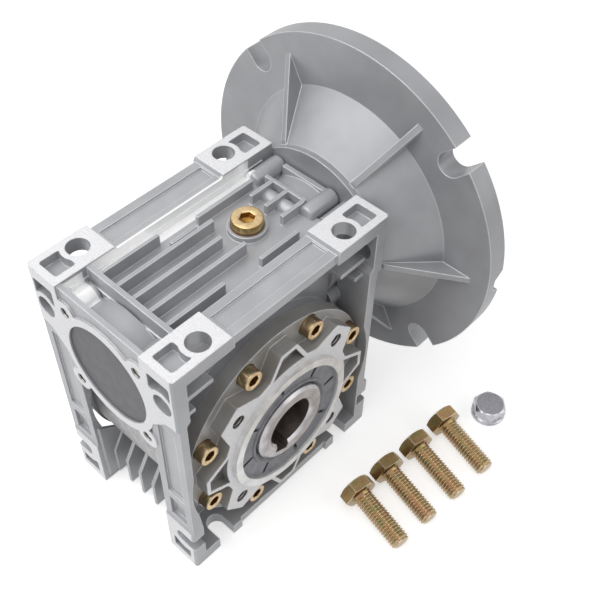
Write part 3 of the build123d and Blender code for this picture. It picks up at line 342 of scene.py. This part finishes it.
machined = {
    # mm from the shared origin: planes that are milled, and how near and how square a face is to count
    "outputFace": 43.5, "end": 60.0, "endHalf": 60.0, "top": 84.0, "feet": -60.0, "near": 0.1, "square": 0.98,
    # turned ring that centres a flange, and the bore of the seal behind it
    "pilotRing": (30.5, 35.5), "sealBore": 31.5, "sealBoreStart": 37.5,
    # tapped holes of the output sides and of the closed worm end: circle, reach and depth
    "outputCircle": 42.5, "outputRadius": 3.7, "outputDepth": 11.2,
    "endCircle": 30.0, "endRadius": 2.9, "endDepth": 12.7, "wormHeight": 50.0,
    # motor flange: its milled rim and the pilot inside it
    "flangeRim": 86.0, "flangePilot": 87.0, "flangePilotRadius": 57.5, "flangeSquare": 0.9,
    # walls of the shaft's bore and keyway
    "shaftBore": 16.0, "wallSlant": 0.5,
}


def castingFinish(centre, normal):
    # 0 paint, 1 milled, 2 and 3 tapped holes, 4 turned pilot ring, from a face's centre in millimetres
    m = machined
    x, y, z = centre
    reach = math.hypot(x, z)
    side = m["outputFace"] - m["near"]
    for corner in (45, 135, 225, 315):
        a = math.radians(corner)
        across = math.hypot(x - m["outputCircle"] * math.cos(a), z - m["outputCircle"] * math.sin(a))
        if across < m["outputRadius"] and side > abs(y) > m["outputFace"] - m["outputDepth"]:
            return 2
        along = math.hypot(y - m["endCircle"] * math.cos(a),
                           z - m["wormHeight"] - m["endCircle"] * math.sin(a))
        if along < m["endRadius"] and m["near"] - m["end"] < x < m["endDepth"] - m["end"]:
            return 3
    if abs(y) > m["outputFace"] + m["near"] and m["pilotRing"][0] < reach < m["pilotRing"][1]:
        return 4
    if abs(y) > m["sealBoreStart"] and reach < m["sealBore"]:
        return 4
    if abs(normal[2]) > m["square"] and (z > m["top"] - m["near"] or z < m["feet"] + m["near"]):
        return 1
    if abs(normal[0]) > m["square"] and abs(x) > m["end"] - m["near"] and abs(y) < m["endHalf"]:
        return 1
    return 1 if abs(normal[1]) > m["square"] and abs(y) > side else 0


def flangeFinish(centre, normal):
    # 1 on the milled rim and in the pilot that the motor sits in, 0 on the paint
    rim = centre[0] > machined["flangeRim"] and abs(normal[0]) > machined["flangeSquare"]
    fromAxis = math.hypot(centre[1], centre[2] - machined["wormHeight"])
    pilot = centre[0] > machined["flangePilot"] and fromAxis < machined["flangePilotRadius"]
    return 1 if rim or pilot else 0


def shaftFinish(centre, normal):
    # 1 on the walls of the bore and the keyway, painted darker as shade, 0 on the chamfer, the ends and the outside
    inside = math.hypot(centre[0], centre[2]) < machined["shaftBore"]
    return 1 if inside and abs(normal[1]) < machined["wallSlant"] else 0


def dress(name, materials, chooser=None):
    # give a CAD node its finishes, face by face where there are several
    node = nodes[name]
    mesh = node.data
    mesh.materials.clear()
    for material in materials:
        mesh.materials.append(material)
    for face in mesh.polygons:
        face.material_index = chooser([c / mm for c in face.center], face.normal) if chooser else 0


def newPiece(name, mesh, materials):
    piece = bpy.data.objects.new(name, mesh)
    bpy.context.scene.collection.objects.link(piece)
    for material in materials:
        mesh.materials.append(material)
    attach(piece, "casing")
    return piece


def finishMesh(name, bm, sharp=35.0):
    # turn a bmesh into a mesh with smooth faces and sharp creases
    bmesh.ops.recalc_face_normals(bm, faces=bm.faces)
    for face in bm.faces:
        face.smooth = True
    mesh = bpy.data.meshes.new(name)
    bm.to_mesh(mesh)
    bm.free()
    mesh.set_sharp_from_angle(angle=math.radians(sharp))
    return mesh


def loops(bm, rings, material=0):
    # join rings of points, each a list of the same length, into a skin
    made = [[bm.verts.new(p) for p in ring] for ring in rings]
    for first, second in zip(made, made[1:]):
        count = len(first)
        for i in range(count):
            j = (i + 1) % count
            face = bm.faces.new((first[i], first[j], second[j], second[i]))
            face.material_index = material
    return made


def circle(radius, height, count, shape=None):
    # points of a ring, in millimetres; shape may change the radius with the angle
    points = []
    for i in range(count):
        angle = 2 * math.pi * i / count
        reach = shape(angle) if shape else radius
        points.append(Vector((reach * math.cos(angle), reach * math.sin(angle), height)) * mm)
    return points


def hexReach(across):
    return lambda angle: across / 2 / math.cos((angle + math.pi / 6) % (math.pi / 3) - math.pi / 6)


motorBolt = {
    # mm: M10 x 30 with a 16 mm hexagon
    "headAcross": 16.0, "headHeight": 6.4, "shank": 30.0, "crest": 4.92, "root": 4.15, "pitch": 1.6,
    "around": 48, "chamfer": 0.95, "chamferSlope": 30, "underChamfer": -0.3, "faceRing": 0.8, "middle": 0.02,
    "fillet": 0.7, "plain": 0.97, "neck": 1.6, "runOut": 0.3,
    # the thread: steps in a turn, width of its root and flank as shares of a pitch, and its tapered end
    "steps": 8, "rootWidth": 0.12, "flank": 0.70, "leadIn": 1.4, "leadShare": 0.25, "tipInset": 0.5,
    "tipGap": 0.05, "tipMiddle": 0.1,
}


def motorBoltMesh():
    # hexagon head with its chamfer, a short plain neck and a rolled thread, along Z from the head's end
    b = motorBolt
    bm = bmesh.new()
    count = b["around"]
    height = b["headHeight"]
    reach = hexReach(b["headAcross"])
    flat = b["headAcross"] / 2 * b["chamfer"]

    def edgeRing(level, sign):
        points = []
        for i in range(count):
            angle = 2 * math.pi * i / count
            r = reach(angle)
            drop = (r - flat) * math.tan(math.radians(b["chamferSlope"]))
            points.append(Vector((r * math.cos(angle), r * math.sin(angle), level + sign * drop)) * mm)
        return points

    head = loops(bm, [circle(flat * b["middle"], 0.0, count), circle(flat * b["faceRing"], 0.0, count),
                      circle(flat, 0.0, count), edgeRing(0.0, 1), edgeRing(height, b["underChamfer"]),
                      circle(flat, height, count), circle(b["crest"] + b["fillet"], height, count),
                      circle(b["crest"] * b["plain"], height + b["fillet"], count),
                      circle(b["root"] + b["runOut"], height + b["neck"], count)], material=1)
    bm.faces.new(head[0]).material_index = 1
    rings = []
    for row in range(int((b["shank"] - b["neck"]) / b["pitch"] * b["steps"]) + 1):
        along = b["neck"] + row * b["pitch"] / b["steps"]
        taper = min(1.0, (b["shank"] - along) / b["leadIn"] * (1 - b["leadShare"]) + b["leadShare"])
        ring = []
        for i in range(count):
            turn = i / count
            phase = (along / b["pitch"] - turn) % 1.0
            wave = 1 - abs(2 * phase - 1)
            wave = min(1.0, max(0.0, (wave - b["rootWidth"]) / b["flank"]))
            r = b["root"] + (b["crest"] - b["root"]) * wave * taper - (1 - taper) * b["tipInset"]
            around = 2 * math.pi * turn
            ring.append(Vector((r * math.cos(around), r * math.sin(around), height + along)) * mm)
        rings.append(ring)
    end = height + b["shank"] - b["tipGap"]
    rings.append(circle(b["root"] - b["tipInset"], end, count))
    rings.append(circle(b["root"] * b["tipMiddle"], end, count))
    shank = loops(bm, rings)
    bm.faces.new(shank[-1])
    return finishMesh("motorBolt", bm, 40)


socketHead = {"around": 48, "rim": 0.55, "rimIn": 0.35, "rimDown": 0.3, "faceRing": 0.75, "dish": 0.35,
              "point": 0.9, "pointRadius": 0.1}
weld = 0.000001  # m, corners this near become one


def socketScrewMesh(screw):
    # socket head: seat at zero, head up Z, rounded rim, hexagon recess in its face
    h = socketHead
    bm = bmesh.new()
    count = h["around"]
    radius, height, depth = screw["headRadius"], screw["headHeight"], screw["socketDepth"]
    reach = hexReach(screw["socketAcross"])
    rings = [circle(screw["shankRadius"], -screw["shank"], count), circle(screw["shankRadius"], 0.0, count),
             circle(radius, 0.0, count), circle(radius, height - h["rim"], count),
             circle(radius - h["rim"] * h["rimIn"], height - h["rim"] * h["rimDown"], count),
             circle(radius - h["rim"], height, count),
             circle(screw["socketAcross"] / 2 + h["faceRing"], height, count),
             circle(0, height - h["dish"], count, reach), circle(0, height - depth, count, reach),
             circle(h["pointRadius"], height - depth - h["point"], count)]
    made = loops(bm, rings[:6])
    # the face takes the second finish, a painted highlight, and the recess the third, painted shade
    crown = loops(bm, rings[5:8], material=1)
    well = loops(bm, rings[7:], material=2)
    bm.faces.new(well[-1]).material_index = 2
    bm.faces.new(made[0])
    bmesh.ops.remove_doubles(bm, verts=made[-1] + crown[0] + crown[-1] + well[0], dist=weld)
    return finishMesh("socketScrew", bm, 30)


def setPiece(name, mesh, materials, matrix):
    # the place goes into the mesh, so that the piece's box is true
    mesh.transform(matrix)
    return newPiece(name, mesh, materials)


def coverScrews():
    # eight M6 screws of the output cover, standing in for the CAD node, each socket turned its own way
    screw = {"circle": 48.5, "count": 8, "start": 22.5, "seat": -35.5, "twist": 37, "headRadius": 5.0,
             "headHeight": 6.0, "socketAcross": 5.0, "socketDepth": 3.2, "shank": 3.0, "shankRadius": 3.0}
    looks = [finish["zinc"], finish["zincFaceHighlight"], finish["zincSocketShade"]]
    mesh = socketScrewMesh(screw)
    for i in range(screw["count"]):
        angle = math.radians(screw["start"] + 360 / screw["count"] * i)
        across, up = screw["circle"] * math.cos(angle), screw["circle"] * math.sin(angle)
        spot = Matrix.Translation(Vector((across, screw["seat"], up)) * mm)
        twist = Matrix.Rotation(math.radians(screw["twist"] * i), 4, "Z")
        turn = Matrix.Rotation(math.radians(90), 4, "X") @ twist
        piece = setPiece("coverScrew" + str(i), mesh.copy(), looks, spot @ turn)
        if i == 0:
            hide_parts("cover_screws")


def looseBolts():
    # the four motor bolts lie on head and thread where the CAD solids lie: x, y and angle of each
    bolts = {"places": ((20.0, -69.4, 9.5), (39.8, -71.2, 9.8), (60.5, -73.2, 10.5), (82.0, -74.3, 11.2)),
             "radius": 4.95, "ground": -60.0, "flatTurn": 30}
    mesh = motorBoltMesh()
    fall = (motorBolt["headAcross"] / 2 - bolts["radius"]) / motorBolt["shank"]
    rise = bolts["ground"] + motorBolt["headAcross"] / 2 + motorBolt["headHeight"] * fall
    for i, (x, y, angle) in enumerate(bolts["places"]):
        t = math.radians(angle)
        zAxis = Vector((-math.sin(t), -math.cos(t), -fall)).normalized()
        xAxis = Vector((math.cos(t), -math.sin(t), 0))
        yAxis = zAxis.cross(xAxis)
        # half a flat's turn lays the head on a flat
        turn = Matrix((xAxis, yAxis, zAxis)).transposed().to_4x4() @ Matrix.Rotation(
            math.radians(bolts["flatTurn"]), 4, "Z")
        spot = Matrix.Translation(Vector((x, y, rise)) * mm)
        piece = setPiece("motorBolt" + str(i), mesh.copy(), [finish["zinc"], finish["zincHead"]], spot @ turn)
        if i == 0:
            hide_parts("motor_bolts")


def fillerPlug():
    # brass plug with a hexagon socket on its washer
    plug = {"x": 19.8, "seat": 79.0, "headRadius": 7.0, "headHeight": 3.4, "socketAcross": 6.2,
            "socketDepth": 3.0, "shank": 7.9, "shankRadius": 4.9}
    piece = setPiece("fillerPlug", socketScrewMesh(plug),
                     [finish["brass"], finish["brassFaceHighlight"], finish["brassSocketShade"]],
                     Matrix.Translation(Vector((plug["x"], 0, plug["seat"])) * mm))
    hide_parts("filler_plug")


def ventPlug():
    # hexagon plug standing on its grooved collar, its round top face matt
    plug = {"x": 107.0, "y": -89.0, "ground": -60.0, "turn": 12, "count": 60, "across": 15.4, "height": 8.6,
            "face": 7.3, "edge": 0.3, "edgeDrop": 0.1, "shoulderDrop": 0.35, "shoulderSlope": 0.7,
            "dish": 0.05, "middle": 0.2,
            # radius and height round the collar, with the groove half way up
            "collar": ((8.4, 0), (8.8, 0.35), (8.8, 1.1), (8.45, 1.25), (8.45, 1.55), (8.8, 1.7), (8.8, 2.6),
                       (8.4, 3.0))}
    bm = bmesh.new()
    count = plug["count"]
    reach = hexReach(plug["across"])
    height = plug["height"]
    shoulder = []
    for i in range(count):
        angle = 2 * math.pi * i / count
        r = reach(angle)
        drop = plug["shoulderDrop"] + (r - plug["face"]) * plug["shoulderSlope"]
        shoulder.append(Vector((r * math.cos(angle), r * math.sin(angle), height - drop)) * mm)
    rings = [circle(radius, level, count) for radius, level in plug["collar"]]
    rings += [circle(0, plug["collar"][-1][1], count, reach), shoulder,
              circle(plug["face"], height - plug["edgeDrop"], count),
              circle(plug["face"] - plug["edge"], height, count)]
    made = loops(bm, rings)
    top = loops(bm, [circle(plug["face"] - plug["edge"], height, count),
                     circle(plug["middle"], height - plug["dish"], count)], material=1)
    bm.faces.new(top[-1]).material_index = 1
    bm.faces.new(made[0])
    bmesh.ops.remove_doubles(bm, verts=made[-1] + top[0], dist=weld)
    turn = Matrix.Rotation(math.radians(plug["turn"]), 4, "Z")
    piece = setPiece("ventPlug", finishMesh("ventPlug", bm, 30), [finish["plug"], finish["plugFace"]],
                     Matrix.Translation(Vector((plug["x"], plug["y"], plug["ground"])) * mm) @ turn)
    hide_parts("vent_plug")


def shaftSeal(name, node, side):
    # lip seal seen from outside: flat rim, sunk web with radial grooves, raised inner lip
    # profile in radius and distance from the middle of the housing, grooves in the span from grooveRing
    seal = {"grooves": 8, "start": 10, "grooveHalf": 1.3, "grooveDepth": 1.5, "grooveRing": 5, "count": 360,
            "profile": ((30.95, 37.6), (30.95, 44.7), (30.7, 45.0), (30.2, 45.0), (29.9, 44.4), (29.6, 44.1),
                        (23.6, 44.0), (23.3, 44.0), (23.1, 44.6), (22.9, 44.8), (22.2, 44.8), (21.8, 44.5),
                        (21.2, 43.4), (20.3, 43.0), (20.1, 42.4), (21.0, 41.0), (21.2, 38.4), (20.2, 38.0),
                        (21.5, 37.6))}
    spacing = 360 // seal["grooves"]
    first = seal["grooveRing"]
    bm = bmesh.new()
    rings = []
    for index, (radius, depth) in enumerate(seal["profile"]):
        ring = []
        for i in range(seal["count"]):
            angle = 360 * i / seal["count"]
            near = (angle - seal["start"]) % spacing
            near = min(near, spacing - near)
            sunk = seal["grooveDepth"] if near < seal["grooveHalf"] and first <= index <= first + 1 else 0
            a = math.radians(angle)
            ring.append(Vector((radius * math.cos(a), side * (depth - sunk), radius * math.sin(a))) * mm)
        rings.append(ring)
    made = loops(bm, rings)
    for i in range(seal["count"]):
        j = (i + 1) % seal["count"]
        bm.faces.new((made[-1][i], made[-1][j], made[0][j], made[0][i]))
    bm.faces.ensure_lookup_table()
    for groove in range(seal["grooves"]):
        middle = seal["start"] + spacing * groove
        # the four faces that make up a groove
        for step in (-2, -1, 0, 1):
            bm.faces[first * seal["count"] + (middle + step) % seal["count"]].material_index = 1
    piece = newPiece(name, finishMesh(name, bm, 38), [finish["sealRubber"], finish["sealGroove"]])
    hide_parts(node)


def deckBars():
    # rounded cast bars at the motor end of the deck: two along the worm, one across under the short ribs
    # name, start and end of each axis, radius, and rounding of its ends, in millimetres
    bars = {"steps": 5, "count": 32, "places": (
        ("deckBarNear", (41.8, -12.0, 76.0), (59.6, -12.0, 76.0), 4.2, 1.4),
        ("deckBarFar", (41.6, 19.4, 76.0), (59.6, 19.4, 76.0), 4.2, 1.4),
        ("deckBarAcross", (40.4, 9.8, 74.9), (40.4, -7.6, 74.9), 3.9, 0.4))}
    angles = [2 * math.pi * i / bars["count"] for i in range(bars["count"])]
    for name, start, end, radius, rounding in bars["places"]:
        start, end = Vector(start), Vector(end)
        axis = (end - start).normalized()
        side = axis.cross(Vector((0, 0, 1)))
        up = side.cross(axis)
        stations = []
        for step in range(bars["steps"] + 1):
            a = math.pi / 2 * step / bars["steps"]
            stations.append((rounding * (1 - math.cos(a)), radius - rounding + rounding * math.sin(a)))
        length = (end - start).length
        stations += [(length - along, reach) for along, reach in reversed(stations)]
        rings = []
        for along, reach in stations:
            middle = start + axis * along
            rings.append([(middle + (side * math.cos(a) + up * math.sin(a)) * reach) * mm for a in angles])
        bm = bmesh.new()
        made = loops(bm, rings)
        bm.faces.new(made[0])
        bm.faces.new(made[-1])
        piece = setPiece(name, finishMesh(name, bm, 50), [finish["housingPaint"]], Matrix())


cutFaces = [finish[key] for key in ("milled", "crossThread", "endThread", "pilot")]
dress("housing", [finish["housingPaint"]] + cutFaces, castingFinish)
dress("output_cover", [finish["coverPaint"]] + cutFaces, castingFinish)
dress("motor_flange", [finish["flangePaint"], finish["milled"]], flangeFinish)
dress("output_shaft", [finish["shaft"], finish["shaftBore"]], shaftFinish)
# the bearings are ground steel and the circlips spring steel, each other node has the finish named here
oneFinish = {
    "worm_wheel_rim": "bronze", "worm_shaft": "wormSteel", "front_seal": "sealRubber",
    "back_seal": "sealRubber", "input_seal": "sealRubber", "cover_o_ring": "sealRubber",
    "rear_cap": "capRubber", "cover_screws": "zinc", "flange_screws": "zinc", "motor_bolts": "zinc",
    "filler_plug": "brass", "filler_washer": "copper", "vent_plug": "plug",
}
for name in nodes:
    if name in ("housing", "output_cover", "motor_flange", "output_shaft"):
        continue
    plain = "bearingSteel" if "bearing" in name else "spring"
    dress(name, [finish[oneFinish.get(name, plain)]])
print("CAD nodes dressed")
coverScrews()
looseBolts()
fillerPlug()
ventPlug()
deckBars()
shaftSeal("frontSealRing", "front_seal", -1)
shaftSeal("backSealRing", "back_seal", 1)
print("screws, bolts, plugs and seals made")

studio = {
    "camera": (-172.0, -200.3, 342.33),  # mm
    "azimuth": -46.255,  # degrees, as the two below
    "elevation": 49.934,
    "roll": 0.2007,
    "lens": 54.98,  # mm, as the sensor
    "sensor": 36,
    "shift": (0.0400, 0.0428),
    "clipStart": 0.01,  # m
    "floor": "#e4e4e4",
    "floorReach": 3.0,  # m
    "floorDrop": 0.0002,  # m, so that the feet and the floor are two skins
    "tooth": 1.5,  # mm, grain of the paper
    "lift": 0.55,  # glow that takes the floor to white for the eye alone
    "world": 0.24,
    # name, place and side of each square lamp in metres, and its watts
    "lamps": (("key", (-0.45, 0.2, 0.98), 1.3, 12.2), ("fill", (0.5, -0.9, 0.6), 0.9, 2.6)),
    "aim": (0, 0, 0.02),  # m
}


def seenShare(tree):
    # 1 for rays that show the surroundings to the camera, straight or by way of metal and glass
    path = addNode(tree, "LightPath", {})
    share = path.outputs["Is Camera Ray"]
    for ray in ("Is Glossy Ray", "Is Transmission Ray"):
        share = addNode(tree, "Math", {"operation": "MAXIMUM", 0: share, 1: path.outputs[ray]}).outputs[0]
    return share


def studioFloor():
    # pale floor that reads white to the camera and in reflections, and keeps the shadow
    bm = bmesh.new()
    bmesh.ops.create_grid(bm, x_segments=2, y_segments=2, size=studio["floorReach"])
    mesh = bpy.data.meshes.new("floor")
    bm.to_mesh(mesh)
    bm.free()
    floor = bpy.data.objects.new("floor", mesh)
    floor.location.z = cadBox[0][2] - studio["floorDrop"]
    bpy.context.scene.collection.objects.link(floor)
    # white paper: matt, with a faint tooth
    material, tree, spot = startMaterial("white paper floor")
    tooth = addNode(tree, "TexNoise", {"Vector": spot, "Scale": 1 / (studio["tooth"] * mm),
                                       "Detail": 2.0}).outputs[0]
    relief = addNode(tree, "Bump", {"Strength": 0.02, "Distance": 0.02 * mm, "Height": tooth}).outputs[0]
    lift = addNode(tree, "Math", {"operation": "MULTIPLY", 0: seenShare(tree), 1: studio["lift"]}).outputs[0]
    closeMaterial(tree, {"Base Color": studio["floor"], "Roughness": 0.9, "Normal": relief,
                         "Emission Color": "#ffffff", "Emission Strength": lift})
    mesh.materials.append(material)


def studioLight():
    # soft white all round, a large lamp above and a weaker one from the cover's side
    world = bpy.data.worlds.new("studio")
    bpy.context.scene.world = world
    world.use_nodes = True
    tree = world.node_tree
    tree.nodes.clear()
    soft = addNode(tree, "Background", {"Color": "#ffffff", "Strength": studio["world"]})
    white = addNode(tree, "Background", {"Color": "#ffffff", "Strength": 1.0})
    mix = addNode(tree, "MixShader", {0: seenShare(tree), 1: soft.outputs[0], 2: white.outputs[0]})
    addNode(tree, "OutputWorld", {"Surface": mix.outputs[0]})
    for name, spot, size, power in studio["lamps"]:
        data = bpy.data.lights.new(name, "AREA")
        data.shape = "SQUARE"
        data.size = size
        data.energy = power
        lamp = bpy.data.objects.new(name, data)
        lamp.location = spot
        aim = Vector(studio["aim"]) - Vector(spot)
        lamp.rotation_euler = aim.to_track_quat("-Z", "Y").to_euler()
        bpy.context.scene.collection.objects.link(lamp)


def studioCamera():
    # the camera looks back along its own Z axis, turned by a small roll
    data = bpy.data.cameras.new("camera")
    camera = bpy.data.objects.new("camera", data)
    bpy.context.scene.collection.objects.link(camera)
    a = math.radians(studio["azimuth"])
    e = math.radians(studio["elevation"])
    back = Vector((math.sin(a) * math.cos(e), -math.cos(a) * math.cos(e), math.sin(e)))
    right = Vector((math.cos(a), math.sin(a), 0))
    up = back.cross(right)
    roll = math.radians(studio["roll"])
    rolledRight = right * math.cos(roll) + up * math.sin(roll)
    rolledUp = up * math.cos(roll) - right * math.sin(roll)
    turn = Matrix((rolledRight, rolledUp, back)).transposed().to_4x4()
    camera.matrix_world = Matrix.Translation(Vector(studio["camera"]) * mm) @ turn
    data.sensor_width = studio["sensor"]
    data.lens = studio["lens"]
    data.shift_x, data.shift_y = studio["shift"]
    data.clip_start = studio["clipStart"]
    bpy.context.scene.camera = camera


studioFloor()
studioLight()
studioCamera()
bpy.context.scene.view_settings.view_transform = "Standard"
print("studio set")
